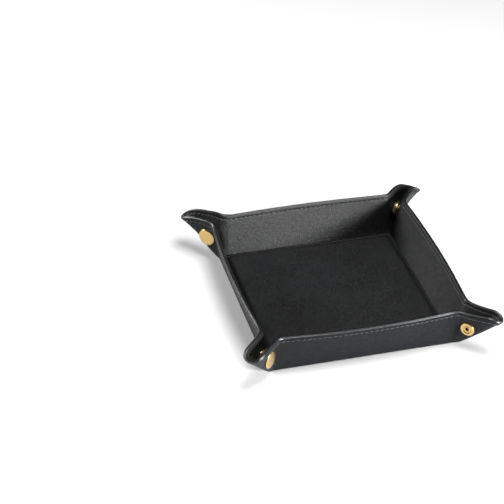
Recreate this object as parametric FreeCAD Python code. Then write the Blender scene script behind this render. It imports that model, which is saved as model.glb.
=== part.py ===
import FreeCAD, Part
import math
import os
from FreeCAD import Vector, Placement, Rotation

# Snap-up leather valet tray, drawn snapped up and standing on z = 0.
# Millimetres, +Z up, +X right along the front wall, +Y to the back.
# Origin: centre of the underside of the base.
#
# The tray is one square outer cover and one lining, bonded face to face and
# sewn round the rim, with a board and a thin pad between them under the base
# panel.  Four walls stand up from creases.  At each corner the leather is
# pinched along the diagonal into an "ear" and held by a press snap whose two
# halves meet lining to lining.  The sheets are cut here at every fold line, so
# each stretch of leather between two folds is one rigid piece.
#
# Every piece is first drawn in the flat pattern (outer face down at z = 0,
# lining face up at z = T), then folded up about the fold lines.

# ------------------------------------------------------------ dimensions
BASE = 127.0            # crease to crease, outer faces (5 in)
A = BASE / 2.0
WALL_H = 32.0           # slant height of a wall, crease to rim
LEAN = 11.0             # outward lean of a wall at its ends, degrees
BOW = 3.2               # extra outward bow of the rim at mid length
T_COVER = 1.2           # outer cover leather
T_LINING = 1.2          # lining leather
T = T_COVER + T_LINING
GAP = 3.8               # between the two lining faces where the snap is closed
R_CORNER = 16.0         # corner radius of the flat outline
SNAP_U, SNAP_V = 6.2, 18.4      # snap centre in the flat corner square
PLAY = 0.05             # each piece stops this far short of its fold line

T_BOARD = 1.4           # stiffening board under the base panel
T_PAD = 1.0             # foam pad on the board
BASE_CUT = 4.7          # the base corners are cut off by this much
EAR_LOW = 5.0           # the ear halves start this high up the bend line
TIP_LOW = 3.0           # the ear tip strip starts this far out on the diagonal
PIVOT_TRIM = 1.15       # trimmed off the free edge of the cap-side ear half

SEAM_IN = 3.0           # seam line to rim
SEAM_W, SEAM_D = 0.6, 0.35      # thread width and depth of its groove
STITCH, STITCH_GAP = 2.5, 0.9   # stitch length and the space between two

# press snap
CAP_D, CAP_H = 12.2, 1.1
CAP_POST_D = 3.0
SOCKET_D, SOCKET_H = 11.4, 2.8
SOCKET_BORE = 5.0
SPRING_MID_D, SPRING_WIRE = 5.75, 0.5
FLANGE_D, FLANGE_H = 10.0, 0.8  # rolled eyelet outside the post half
POST_D, POST_BORE = 3.4, 2.2
STUD_BASE_D, STUD_BASE_H = 9.6, 0.6
STUD_NECK_D, STUD_HEAD_D, STUD_TALL = 4.0, 4.4, 2.7
FIT = 0.1               # radial play of a post in its leather hole

# folds, degrees from flat
WALL_FOLD = 90.0 - LEAN
sn, cs = math.sin(math.radians(LEAN)), math.cos(math.radians(LEAN))
L_OFF = T * cs + GAP / math.sqrt(2.0)   # wall end line starts this far in
EPS = math.degrees(math.atan(sn))       # and leans out by this angle
Q = math.sqrt(0.5)


def turn(point, axis, deg):
    """Rotation by deg about the line through point along axis."""
    return Placement(Vector(0, 0, 0), Rotation(Vector(axis), deg), Vector(point))


# fold lines of the corner behind on the left, in the flat pattern
WALL_P, WALL_D = Vector(0, A, 0), Vector(1, 0, 0)
L1_P = Vector(-A + L_OFF, A, T)
L1_D = Vector(-sn, 1, 0).normalize()
L2_P = Vector(-A, A - L_OFF, T)
L2_D = Vector(-1, sn, 0).normalize()
DIAG = Vector(-Q, Q, 0)
H1_P = Vector(-A, A, T) + Vector(Q, Q, 0) * (GAP / 2.0)
H2_P = Vector(-A, A, T) - Vector(Q, Q, 0) * (GAP / 2.0)
N_SYM = Vector(Q, Q, 0)                 # normal of the corner's mirror plane

P_WALL = turn(WALL_P, WALL_D, WALL_FOLD)


def bend_angle():
    """Fold at the wall end that brings the ear half parallel to the mirror
    plane."""
    best = None
    for sign in (1.0, -1.0):
        lo, hi = 20.0, 70.0
        for _ in range(200):
            third = (hi - lo) / 3.0
            f = []
            for x in (lo + third, hi - third):
                p = P_WALL.multiply(turn(L1_P, L1_D, sign * x))
                f.append(1.0 - abs(p.Rotation.multVec(Vector(0, 0, 1)).dot(N_SYM)))
            if f[0] < f[1]:
                hi = hi - third
            else:
                lo = lo + third
        x = 0.5 * (lo + hi)
        p = P_WALL.multiply(turn(L1_P, L1_D, sign * x))
        miss = 1.0 - abs(p.Rotation.multVec(Vector(0, 0, 1)).dot(N_SYM))
        if best is None or miss < best[0]:
            best = (miss, sign * x)
    return best[1]


BEND = bend_angle()
P_POST = P_WALL.multiply(turn(L1_P, L1_D, BEND))


def tip_sign():
    for sign in (1.0, -1.0):
        p = P_POST.multiply(turn(H1_P, DIAG, sign * 90.0))
        if abs(p.multVec(Vector(-A, A, 0) + DIAG * 30.0).dot(N_SYM)) < 0.01:
            return sign
    raise ValueError("ear tip does not close")


TIP = 90.0 * tip_sign()
P_TIP = P_POST.multiply(turn(H1_P, DIAG, TIP))
P_CAP = P_TIP.multiply(turn(H2_P, DIAG, TIP))


# --------------------------------------------------------------- helpers
def prism(points, z0, z1):
    """Straight prism over a flat polygon."""
    w = Part.makePolygon([Vector(x, y, z0) for x, y in points] +
                         [Vector(points[0][0], points[0][1], z0)])
    return Part.Face(w).extrude(Vector(0, 0, z1 - z0))


def stack(lower, upper, z0, z1):
    """Solid between two like polygons at two heights."""
    ws = []
    for pts, z in ((lower, z0), (upper, z1)):
        ws.append(Part.makePolygon([Vector(x, y, z) for x, y in pts] +
                                   [Vector(pts[0][0], pts[0][1], z)]))
    return Part.makeLoft(ws, True, True)


def octagon(half, cut):
    h, c = half, cut
    return [(h - c, -h), (h, -h + c), (h, h - c), (h - c, h),
            (-h + c, h), (-h, h - c), (-h, -h + c), (-h + c, -h)]


def half_space(point, inward, axis, size=400.0):
    """Big block on the far side of a plane: its face passes through point and
    holds the direction axis; inward points to the side that is kept."""
    inward = Vector(inward).normalize()
    axis = Vector(axis).normalize()
    side = inward.cross(axis).normalize()
    p = Vector(point)
    c = [p + axis * size + side * size, p - axis * size + side * size,
         p - axis * size - side * size, p + axis * size - side * size]
    f = Part.Face(Part.makePolygon(c + [c[0]]))
    return f.extrude(inward * (-size))


def baked(shape, place):
    return shape.transformed(place.toMatrix(), True)


def clean(shape):
    """The one solid of a boolean result."""
    s = shape.Solids
    if len(s) == 1:
        return s[0]
    return sorted(s, key=lambda q: q.Volume)[-1]


def disc(x, y, d, z0, z1):
    return Part.makeCylinder(d / 2.0, z1 - z0, Vector(x, y, z0), Vector(0, 0, 1))


def ring(x, y, points):
    """Solid of revolution about the upright line through x, y."""
    w = Part.makePolygon([Vector(x + r, y, z) for r, z in points] +
                         [Vector(x + points[0][0], y, points[0][1])])
    return Part.Face(w).revolve(Vector(x, y, 0), Vector(0, 0, 1), 360.0)


def seat(place, k):
    """Folded placement of the piece of corner or wall k (quarter turns)."""
    return Placement(Vector(0, 0, 0), Rotation(Vector(0, 0, 1), 90.0 * k)).multiply(place)


# wall end planes.  The leather bends outward there, so the two pieces meet on
# the bisector and turn about the lining face.
def end_plane(point, direction, inward_flat, deg, play):
    """Block that trims a piece at a fold line.  inward_flat: flat direction
    into the piece; deg: mitre, positive when the outer face is cut back."""
    up = Vector(0, 0, 1)
    n = inward_flat * math.cos(math.radians(deg)) + up * math.sin(math.radians(deg))
    return half_space(point + inward_flat * play, n, direction)


L1_IN_WALL = Vector(1, sn, 0).normalize()      # from the line into the wall
L1_IN_EAR = L1_IN_WALL * -1.0
L2_IN_WALL = Vector(-sn, -1, 0).normalize()
L2_IN_EAR = L2_IN_WALL * -1.0


# ----------------------------------------------------------------- walls
MITRE = math.tan(math.radians(WALL_FOLD / 2.0))
END = A - L_OFF + WALL_H * sn               # half length of the rim


def bow_at(x):
    u = max(-1.0, min(1.0, x / (A - 1.0)))
    return BOW * (1.0 - u * u)


def wall_strip(z0, z1, v0=None, v1=None):
    """Length of wall between two depths of the leather, in the flat pattern,
    bowed; v0, v1 limit it between two heights."""
    wires = []
    n = 13
    for i in range(n):
        x = -A - 1.6 + (2.0 * A + 3.2) * i / (n - 1)
        pts = []
        lo0 = z0 * MITRE + PLAY if v0 is None else v0
        lo1 = z1 * MITRE + PLAY if v0 is None else v0
        hi = WALL_H if v1 is None else v1
        for v, z in ((lo0, z0), (hi, z0), (hi, z1), (lo1, z1)):
            pts.append(Vector(x, A + v, z - bow_at(x) * v / WALL_H))
        wires.append(Part.makePolygon(pts + [pts[0]]))
    return Part.makeLoft(wires, True, False)


def wall_ends(shape):
    half = abs(BEND) / 2.0
    left = end_plane(L1_P, L1_D, L1_IN_WALL, half, PLAY)
    # the other end meets the cap side of the next corner: same line, mirrored
    p = Vector(-L1_P.x, L1_P.y, L1_P.z)
    d = Vector(-L1_D.x, L1_D.y, 0)
    inw = Vector(-L1_IN_WALL.x, L1_IN_WALL.y, 0)
    right = end_plane(p, d, inw, half, PLAY)
    return clean(shape.cut(left).cut(right))


v_a, v_b = WALL_H - SEAM_IN - SEAM_W / 2.0, WALL_H - SEAM_IN + SEAM_W / 2.0
groove_out = wall_strip(-1.0, SEAM_D, v_a - FIT, v_b + FIT)
groove_in = wall_strip(T - SEAM_D, T + 1.0, v_a - FIT, v_b + FIT)
wall_cover_flat = wall_ends(wall_strip(0.0, T_COVER).cut(groove_out))
wall_lining_flat = wall_ends(wall_strip(T_COVER, T).cut(groove_in))

stitch_boxes = []
reach = END - 3.0
count = int((2.0 * reach + STITCH_GAP) / (STITCH + STITCH_GAP))
start = -(count * (STITCH + STITCH_GAP) - STITCH_GAP) / 2.0
for i in range(count):
    x = start + i * (STITCH + STITCH_GAP)
    stitch_boxes.append(Part.makeBox(STITCH, 6.0, 30.0,
                                     Vector(x, A + WALL_H - SEAM_IN - 3.0, -15.0)))
stitch_cutter = Part.makeCompound(stitch_boxes)
thread_out = wall_strip(0.0, SEAM_D, v_a, v_b).common(stitch_cutter)
thread_in = wall_strip(T - SEAM_D, T, v_a, v_b).common(stitch_cutter)
wall_thread_flat = Part.makeCompound(thread_out.Solids + thread_in.Solids)


# ------------------------------------------------------------------ ears
def ear_outline(v_low):
    """Flat outline of the post-side ear half, before the fold-line trims."""
    pts = [(L_OFF + 6.0, v_low), (L_OFF + 6.0, WALL_H), (-(WALL_H - R_CORNER), WALL_H)]
    for i in range(1, 17):
        a = math.radians(90.0 + 90.0 * i / 16.0)
        pts.append((-(WALL_H - R_CORNER) + R_CORNER * math.cos(a),
                    (WALL_H - R_CORNER) + R_CORNER * math.sin(a)))
    pts.append((-WALL_H, v_low))
    return [(-A + x, A + y) for x, y in pts]


def corner_plate(z0, z1):
    """Rounded corner square, solid between two depths, with a true arc."""
    r, h = R_CORNER, WALL_H
    x0, y0 = -A, A
    m = Vector(x0 - (h - r) - r * Q, y0 + (h - r) + r * Q, z0)
    p1 = Vector(x0 - (h - r), y0 + h, z0)
    p2 = Vector(x0 - h, y0 + (h - r), z0)
    q0 = Vector(x0 + 12.0, y0 + h, z0)
    q1 = Vector(x0 + 12.0, y0 - 12.0, z0)
    q2 = Vector(x0 - h, y0 - 12.0, z0)
    edges = [Part.LineSegment(q0, p1).toShape(), Part.Arc(p1, m, p2).toShape(),
             Part.LineSegment(p2, q2).toShape(), Part.LineSegment(q2, q1).toShape(),
             Part.LineSegment(q1, q0).toShape()]
    return Part.Face(Part.Wire(edges)).extrude(Vector(0, 0, z1 - z0))


def post_half(z0, z1, hole):
    s = corner_plate(z0, z1)
    s = s.cut(end_plane(L1_P, L1_D, L1_IN_EAR, abs(BEND) / 2.0, PLAY))
    s = s.cut(half_space(H1_P + Vector(Q, Q, 0) * PLAY, Vector(Q, Q, 0), DIAG))
    # lower end, square to the bend line
    low = L1_P + L1_D * EAR_LOW
    s = s.cut(half_space(low, L1_D, L1_IN_EAR))
    s = s.cut(disc(-A - SNAP_U, A + SNAP_V, hole, z0 - 1, z1 + 1))
    return clean(s)


def cap_half(z0, z1, hole):
    s = corner_plate(z0, z1)
    s = s.cut(end_plane(L2_P, L2_D, L2_IN_EAR, abs(BEND) / 2.0, PIVOT_TRIM))
    s = s.cut(half_space(H2_P - Vector(Q, Q, 0) * PLAY, Vector(-Q, -Q, 0), DIAG))
    low = L2_P + L2_D * EAR_LOW
    s = s.cut(half_space(low, L2_D, L2_IN_EAR))
    s = s.cut(disc(-A - SNAP_V, A + SNAP_U, hole, z0 - 1, z1 + 1))
    return clean(s)


def tip_strip(z0, z1):
    s = corner_plate(z0, z1)
    s = s.cut(half_space(H1_P - Vector(Q, Q, 0) * PLAY, Vector(-Q, -Q, 0), DIAG))
    s = s.cut(half_space(H2_P + Vector(Q, Q, 0) * PLAY, Vector(Q, Q, 0), DIAG))
    s = s.cut(half_space(Vector(-A, A, 0) + DIAG * TIP_LOW, DIAG, N_SYM))
    return clean(s)


post_cover = post_half(0.0, T_COVER, POST_D + 2 * FIT)
post_lining = post_half(T_COVER, T, POST_D + 2 * FIT)
cap_cover = cap_half(0.0, T_COVER, CAP_POST_D + 2 * FIT)
cap_lining = cap_half(T_COVER, T, CAP_POST_D + 2 * FIT)
tip_cover = tip_strip(0.0, T_COVER)
tip_lining = tip_strip(T_COVER, T)

# ----------------------------------------------------------------- snaps
# post half: rolled eyelet with a tube through both leathers, clinched in the
# stud on the lining side
px, py = -A - SNAP_U, A + SNAP_V
post_flat = ring(px, py, [
    (POST_BORE / 2, T + 1.5), (POST_BORE / 2, -0.25), (POST_BORE / 2 + 0.5, -FLANGE_H + 0.1),
    (POST_BORE / 2 + 1.1, -FLANGE_H), (FLANGE_D / 2 - 0.9, -FLANGE_H),
    (FLANGE_D / 2 - 0.3, -FLANGE_H * 0.7), (FLANGE_D / 2, -FLANGE_H * 0.3),
    (FLANGE_D / 2, 0.0), (POST_D / 2, 0.0), (POST_D / 2, T + 1.5)])
z = T
bore = POST_D / 2 + 0.02
stud_flat = ring(px, py, [
    (bore, z), (STUD_BASE_D / 2 - 0.3, z), (STUD_BASE_D / 2, z + 0.2),
    (STUD_BASE_D / 2 - 0.2, z + STUD_BASE_H), (STUD_NECK_D / 2 + 0.5, z + STUD_BASE_H),
    (STUD_NECK_D / 2, z + STUD_BASE_H + 0.4), (STUD_NECK_D / 2, z + 1.3),
    (STUD_HEAD_D / 2, z + 1.7), (STUD_HEAD_D / 2, z + 2.1),
    (STUD_HEAD_D / 2 - 0.5, z + STUD_TALL), (0.6, z + STUD_TALL),
    (0.6, z + STUD_TALL - 0.5), (bore, z + STUD_TALL - 0.7)])

# cap half: shallow domed cap whose post is clinched in the socket
cx, cy = -A - SNAP_V, A + SNAP_U
cap_flat = ring(cx, cy, [
    (0.0, -CAP_H), (CAP_D * 0.30, -CAP_H + 0.05), (CAP_D / 2 - 0.7, -CAP_H + 0.18),
    (CAP_D / 2 - 0.2, -CAP_H * 0.62), (CAP_D / 2, -CAP_H * 0.3), (CAP_D / 2, 0.0),
    (CAP_POST_D / 2, 0.0), (CAP_POST_D / 2, T + 0.45), (CAP_POST_D / 2 + 0.4, T + 0.65),
    (0.9, T + 0.65), (0.9, 0.4), (0.0, 0.4)])
sb = SOCKET_BORE / 2
gr = SPRING_MID_D / 2 + SPRING_WIRE / 2 + 0.06
zs = T + 1.75                       # height of the spring ring
hw = SPRING_WIRE / 2 + 0.06
socket_flat = ring(cx, cy, [
    (CAP_POST_D / 2 + 0.02, T), (SOCKET_D / 2 - 0.3, T), (SOCKET_D / 2, T + 0.3),
    (SOCKET_D / 2, T + SOCKET_H - 0.7), (SOCKET_D / 2 - 0.7, T + SOCKET_H),
    (sb + 0.25, T + SOCKET_H), (sb, T + SOCKET_H - 0.25), (sb, zs + hw),
    (gr, zs + hw), (gr, zs - hw), (sb, zs - hw), (sb, T + 0.42), (CAP_POST_D / 2 + 0.02, T + 0.42)])
# split ring spring, open over 40 degrees
spring = Part.makeTorus(SPRING_MID_D / 2, SPRING_WIRE / 2, Vector(cx, cy, zs), Vector(0, 0, 1),
                        0, 360, 320)

# ------------------------------------------------------------------ base
base_cover = stack(octagon(A - PLAY, BASE_CUT), octagon(A - PLAY - T_COVER * MITRE, BASE_CUT),
                   0.0, T_COVER)
z_top = T_COVER + T_BOARD + T_PAD       # underside of the lining over the pad
E0 = A - PLAY - T_COVER * MITRE
E1 = A - PLAY - T * MITRE
rim_part = stack(octagon(E0, BASE_CUT), octagon(E1, BASE_CUT), T_COVER, T)
hump = stack(octagon(A - 3.6, 3.0), octagon(A - 7.4, 3.0), T, z_top + T_LINING)
cavity = stack(octagon(A - 5.0, 3.0), octagon(A - 8.6, 3.0), T_COVER, z_top)
base_lining = clean(rim_part.fuse(hump).removeSplitter().cut(cavity))
B_HALF = A - 8.0
base_board = prism(octagon(B_HALF, 2.5), T_COVER, T_COVER + T_BOARD)
base_pad = stack(octagon(B_HALF, 2.5), octagon(A - 9.0, 2.5), T_COVER + T_BOARD, z_top)


# ---------------------------------------------------------------- output
WALLS = ["back", "left", "front", "right"]
CORNERS = ["back_left", "front_left", "front_right", "back_right"]


def build():
    parts = {"cover_base": base_cover, "lining_base": base_lining,
             "base_board": base_board, "base_pad": base_pad}
    for k in range(4):
        w, c = WALLS[k], CORNERS[k]
        p = seat(P_WALL, k)
        parts["cover_%s_wall" % w] = baked(wall_cover_flat, p)
        parts["lining_%s_wall" % w] = baked(wall_lining_flat, p)
        parts["seam_thread_%s" % w] = baked(wall_thread_flat, p)
        p = seat(P_POST, k)
        parts["cover_ear_post_%s" % c] = baked(post_cover, p)
        parts["lining_ear_post_%s" % c] = baked(post_lining, p)
        parts["snap_post_%s" % c] = baked(post_flat, p)
        parts["snap_stud_%s" % c] = baked(stud_flat, p)
        p = seat(P_TIP, k)
        parts["cover_ear_tip_%s" % c] = baked(tip_cover, p)
        parts["lining_ear_tip_%s" % c] = baked(tip_lining, p)
        p = seat(P_CAP, k)
        parts["cover_ear_cap_%s" % c] = baked(cap_cover, p)
        parts["lining_ear_cap_%s" % c] = baked(cap_lining, p)
        parts["snap_cap_%s" % c] = baked(cap_flat, p)
        parts["snap_socket_%s" % c] = baked(socket_flat, p)
        parts["snap_spring_%s" % c] = baked(spring, p)
    return parts


os.makedirs("parts", exist_ok=True)
PARTS = build()
for name in sorted(PARTS):
    s = PARTS[name]
    s.exportStep("parts/%s.step" % name)
    bb = s.BoundBox
    print("%-32s solids %3d valid %s vol %9.2f  x %.1f %.1f y %.1f %.1f z %.2f %.2f" % (
        name, len(s.Solids), s.isValid(), s.Volume,
        bb.XMin, bb.XMax, bb.YMin, bb.YMax, bb.ZMin, bb.ZMax))
print("nodes", len(PARTS), "bend", BEND, "tip", TIP)
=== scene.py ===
import bpy
import math
import numpy as np
from mathutils import Matrix, Vector


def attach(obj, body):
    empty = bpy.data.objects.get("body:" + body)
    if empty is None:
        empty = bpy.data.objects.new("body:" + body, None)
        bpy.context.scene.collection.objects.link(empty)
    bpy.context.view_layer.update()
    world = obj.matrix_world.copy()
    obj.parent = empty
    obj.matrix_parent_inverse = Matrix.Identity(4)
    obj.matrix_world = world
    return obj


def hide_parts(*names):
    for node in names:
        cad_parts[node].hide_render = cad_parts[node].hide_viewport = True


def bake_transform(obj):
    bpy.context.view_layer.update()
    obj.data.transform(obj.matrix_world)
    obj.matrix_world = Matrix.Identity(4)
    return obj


# Snap-up leather valet tray.  Every length below is in millimetres until a
# mesh is made.  The leather is one flat pattern, folded by a smooth map: the
# folds are first drawn sharp and then rounded, and cover and lining are laid
# on either side of that one surface.

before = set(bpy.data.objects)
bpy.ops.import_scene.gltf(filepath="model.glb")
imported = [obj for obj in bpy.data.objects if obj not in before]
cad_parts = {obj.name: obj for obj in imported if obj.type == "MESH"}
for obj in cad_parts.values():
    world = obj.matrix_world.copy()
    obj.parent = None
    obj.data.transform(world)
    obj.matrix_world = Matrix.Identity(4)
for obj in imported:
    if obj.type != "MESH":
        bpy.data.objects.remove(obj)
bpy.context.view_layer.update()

# ------------------------------------------------------------ dimensions
A = 63.5                # half of the base, crease to crease
H = 32.0                # slant height of a wall
LEAN = 11.0
BOW = 3.2
T1 = 1.2                # one leather
T = 2 * T1
GAP = 3.8
R = 16.0                # corner radius of the outline
SU, SV = 6.2, 18.4      # snap centre in the flat corner
SEAM = 3.0
BEND = -46.0432461
Q = math.sqrt(0.5)
sn, cs = math.sin(math.radians(LEAN)), math.cos(math.radians(LEAN))
L_OFF = T * cs + GAP * Q
WALLS = ["back", "left", "front", "right"]
CORNERS = ["back_left", "front_left", "front_right", "back_right"]


def rot(p, d, deg):
    """4x4 rotation by deg about the line through p along d."""
    m = Matrix.Rotation(math.radians(deg), 4, Vector(d).normalized())
    p = Vector(p)
    return np.array(Matrix.Translation(p) @ m @ Matrix.Translation(-p))


def put(m, pts):
    pts = np.asarray(pts, float)
    return pts @ m[:3, :3].T + m[:3, 3]


L1_P, L1_D = (-A + L_OFF, A, T), (-sn, 1, 0)
DIAG = (-Q, Q, 0)
H1_P = (-A + Q * GAP / 2, A + Q * GAP / 2, T)
H2_P = (-A - Q * GAP / 2, A - Q * GAP / 2, T)
P_WALL = rot((0, A, 0), (1, 0, 0), 90.0 - LEAN)
P_POST = P_WALL @ rot(L1_P, L1_D, BEND)
P_TIP = P_POST @ rot(H1_P, DIAG, 90.0)
P_CAP = P_TIP @ rot(H2_P, DIAG, 90.0)
NRM = np.array([Q, Q, 0.0])             # normal of the corner's mirror plane
DF = P_POST[:3, :3] @ np.array(DIAG)
EF = P_POST[:3, :3] @ np.array([Q, Q, 0.0])
_o1 = put(P_POST, [(-A, A, T / 2)])[0]
CORNER = np.array([-A, A, 0.0])
N_SNAP = float((_o1 - CORNER) @ NRM)    # half distance of the mid surfaces there
O1 = _o1 - N_SNAP * NRM


def quarter(k):
    return np.array(Matrix.Rotation(math.radians(90.0 * k), 4, "Z"))


def sstep(x):
    x = np.clip(x, 0.0, 1.0)
    return x * x * (3.0 - 2.0 * x)


# ------------------------------------------------- the folded mid surface
MIT = T / 2 * math.tan(math.radians((90.0 - LEAN) / 2))


def w_eff(w):
    """The mid surface is shorter than the flat pattern round the crease."""
    a = np.abs(w)
    return np.where(a < 6.0, np.sign(w) * (MIT + a * (6.0 - MIT) / 6.0), w)


def bow_at(x):
    u = np.clip(x / (A - 1.0), -1.0, 1.0)
    return BOW * (1.0 - u * u)


def wall_sharp(x, w):
    """Back wall (w > 0) and base (w < 0), mid surface."""
    e = w_eff(w)
    flat = np.stack([x, A + e, T / 2 - bow_at(x) * np.clip(w, 0, None) / H], -1)
    up = put(P_WALL, flat)
    down = np.stack([x, A + e, np.full_like(x, T / 2)], -1)
    return np.where((w > 0)[..., None], up, down)


def u_kink(w):
    """Where the wall ends and the ear begins, in the flat corner."""
    w = np.maximum(w, 0.0)
    return -4.6 * (1.0 - np.exp(-w / 4.0)) + 1.9 * w / 32.0


def nose_radius(tau):
    return np.maximum(5.3 * (1.0 - np.exp(-np.maximum(tau, 0.0) / 15.5)), 0.15)


def ear_sharp(u, w):
    """Post-side ear half, w >= u, mid surface."""
    tau, e = (u + w) * Q, np.maximum((w - u) * Q, 0.0)
    rho = nose_radius(tau)
    arc = rho * math.pi / 2
    wk = np.maximum(w, 0.3)
    uk = u_kink(wk)
    ek = np.maximum((wk - uk) * Q, arc + 0.5)
    lam = sstep((e - arc) / (ek - arc))
    xk = -A - uk
    kink = wall_sharp(xk, wk)
    nk = (kink - CORNER) @ NRM
    r = np.hypot(u - SU, w - SV)
    pinch = 1.0 - sstep((r - 4.6) / 8.5)
    free = rho * (1 - lam) + nk * lam
    n = free * (1 - pinch) + N_SNAP * pinch
    ang = np.minimum(e / rho, math.pi / 2)
    n = n * np.sin(ang)
    d = np.where(e < arc, 0.5 * math.pi * rho - rho + rho * (1 - np.cos(ang)), e)
    p = O1 + tau[..., None] * DF + d[..., None] * EF + n[..., None] * NRM
    # meet the wall at the kink and the base corner at the apex
    tk, dk = (uk + wk) * Q, (wk - uk) * Q
    pk = O1 + tk[..., None] * DF + dk[..., None] * EF + nk[..., None] * NRM
    fit = (kink - pk) * (lam * (1 - pinch))[..., None]
    apex = np.array([-A, A, T / 2]) - O1
    p = p + fit + apex * (np.exp(-np.maximum(tau, 0) / 4.5) * (1 - lam))[..., None]
    return p


def mirror(p):
    """Mirror in the corner's diagonal plane."""
    return np.stack([-p[..., 1], -p[..., 0], p[..., 2]], -1)


def half_sharp(u, w):
    wall = wall_sharp(-A - u, w)
    ear = ear_sharp(u, w)
    use = (w > 0) & (u > u_kink(w))
    return np.where(use[..., None], ear, wall)


STEP = 0.4
G0, G1 = -A - 7.0, 38.0
_axis = np.arange(G0, G1 + STEP / 2, STEP)
gu, gw = np.meshgrid(_axis, _axis, indexing="ij")
post_side = gw >= gu
sharp = np.where(post_side[..., None], half_sharp(gu, gw), mirror(half_sharp(gw, gu)))


def smooth(a, sigma):
    """Gaussian filter over both grid axes."""
    m = int(math.ceil(3.2 * sigma / STEP))
    k = np.exp(-0.5 * (np.arange(-m, m + 1) * STEP / sigma) ** 2)
    k /= k.sum()
    for axis in (0, 1):
        pad = [(0, 0)] * 3
        pad[axis] = (m, m)
        b = np.pad(a, pad, mode="reflect", reflect_type="odd")
        n = a.shape[axis]
        a = sum(k[i] * np.take(b, np.arange(i, i + n), axis) for i in range(2 * m + 1))
    return a


# folds are tight at the base and rounder towards the free rim
_high = sstep((np.maximum(gu, gw) - 11.0) / 17.0)[..., None]
GRID = smooth(sharp, 1.25) * (1 - _high) + smooth(sharp, 2.7) * _high
DU = np.gradient(GRID, STEP, axis=0)
DW = np.gradient(GRID, STEP, axis=1)


def take(grid, u, w):
    """Cubic look-up in a grid over the flat corner."""
    x = np.clip((u - G0) / STEP, 1.0, len(_axis) - 3.001)
    y = np.clip((w - G0) / STEP, 1.0, len(_axis) - 3.001)
    i, j = np.floor(x).astype(int), np.floor(y).astype(int)
    fx, fy = x - i, y - j

    def cubic(t):
        return (-0.5 * t ** 3 + t ** 2 - 0.5 * t, 1.5 * t ** 3 - 2.5 * t ** 2 + 1,
                -1.5 * t ** 3 + 2 * t ** 2 + 0.5 * t, 0.5 * t ** 3 - 0.5 * t ** 2)

    cx, cy = cubic(fx), cubic(fy)
    out = 0
    for a in range(4):
        for b in range(4):
            out = out + (cx[a] * cy[b])[..., None] * grid[i + a - 1, j + b - 1]
    return out


# Each ear has its own set, from handling: how far its tip is moved along the
# diagonal, across it and up, how much its post-side and cap-side lips open,
# how much the middle of its rim stands up and where that starts, how much the
# two sides close on each other at the tip and how much the fold swells
# outwards below the tip.
EAR_SET = {
    "back_left": ((2.8, 0.0, -1.6), (1.2, 0.6), (1.6, 14.0, 0.3, 0.0)),
    "front_left": ((-0.8, 0.6, -0.6), (1.0, 1.2), (0.4, 14.0, 0.0, 0.0)),
    "front_right": ((1.7, 0.0, 2.5), (0.7, 0.9), (-0.3, 19.0, 1.2, 0.0)),
    "back_right": ((2.1, 2.2, -3.0), (1.5, 0.3), (3.2, 19.0, 0.3, 2.6)),
}


def corner_point(k, u, w):
    """Mid surface and its lining-side normal, in the row frame, at flat point
    u, w of corner k."""
    p = take(GRID, u, w)
    du, dw = take(DU, u, w), take(DW, u, w)
    n = np.cross(dw, du)
    n /= np.maximum(np.linalg.norm(n, axis=-1, keepdims=True), 1e-9)
    (out, across, up), (lip_post, lip_cap), (rise, start, pinch, belly) = EAR_SET[CORNERS[k]]
    if any((out, across, up, lip_post, lip_cap, rise, pinch, belly)):
        def shift(u, w):
            tau = (u + w) * Q
            g = sstep((tau - 23.0) / 15.0)
            side = np.tanh((w - u) * Q / 3.0)
            lips = np.where(side > 0, lip_post, lip_cap)
            m = sstep((np.maximum(u, w) - 20.0) / 12.0) * sstep((tau - 13.0) / 13.0)
            s = (g * out)[..., None] * np.array([-Q, Q, 0]) + (g * across)[..., None] * NRM
            crown = sstep((np.maximum(u, w) - 20.0) / 12.0) * sstep((tau - start) / 11.0) \
                * (1 - 0.75 * sstep((tau - 31.0) / 8.0))
            s = s + (g * up + crown * rise)[..., None] * np.array([0, 0, 1.0])
            swell = belly * sstep((tau - 7.0) / 11.0) * (1 - sstep((tau - 22.0) / 13.0)) \
                * np.exp(-((w - u) * Q / 6.0) ** 2)
            s = s + swell[..., None] * np.array([-Q, Q, 0])
            return s + ((m * lips - g * pinch) * side)[..., None] * NRM
        h = 0.2
        s = shift(u, w)
        p = p + s
        du = du + (shift(u + h, w) - shift(u - h, w)) / (2 * h)
        dw = dw + (shift(u, w + h) - shift(u, w - h)) / (2 * h)
        n = np.cross(dw, du)
        n /= np.maximum(np.linalg.norm(n, axis=-1, keepdims=True), 1e-9)
    q = quarter(k)
    return p @ q[:3, :3].T, n @ q[:3, :3].T


def wall_point(k, x, w):
    """The same for wall k, x from its post end (negative) to its cap end."""
    pl, nl = corner_point(k, -A - np.minimum(x, 0.0), w)
    pr, nr = corner_point((k + 3) % 4, w, -A + np.maximum(x, 0.0))
    left = (x < 0)[..., None]
    return np.where(left, pl, pr), np.where(left, nl, nr)


def flat_uv(k, x, y):
    """Flat pattern coordinates, in decimetres, of a point drawn at wall k."""
    q = quarter(k)
    return (x * q[0, 0] + y * q[0, 1]) / 100.0, (x * q[1, 0] + y * q[1, 1]) / 100.0


# ----------------------------------------------------- building the leather
def lift(w):
    """Extra height of the base lining over the board and pad, w < 0 inside."""
    return 2.4 * sstep((-w - 2.6) / 3.9)


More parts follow.
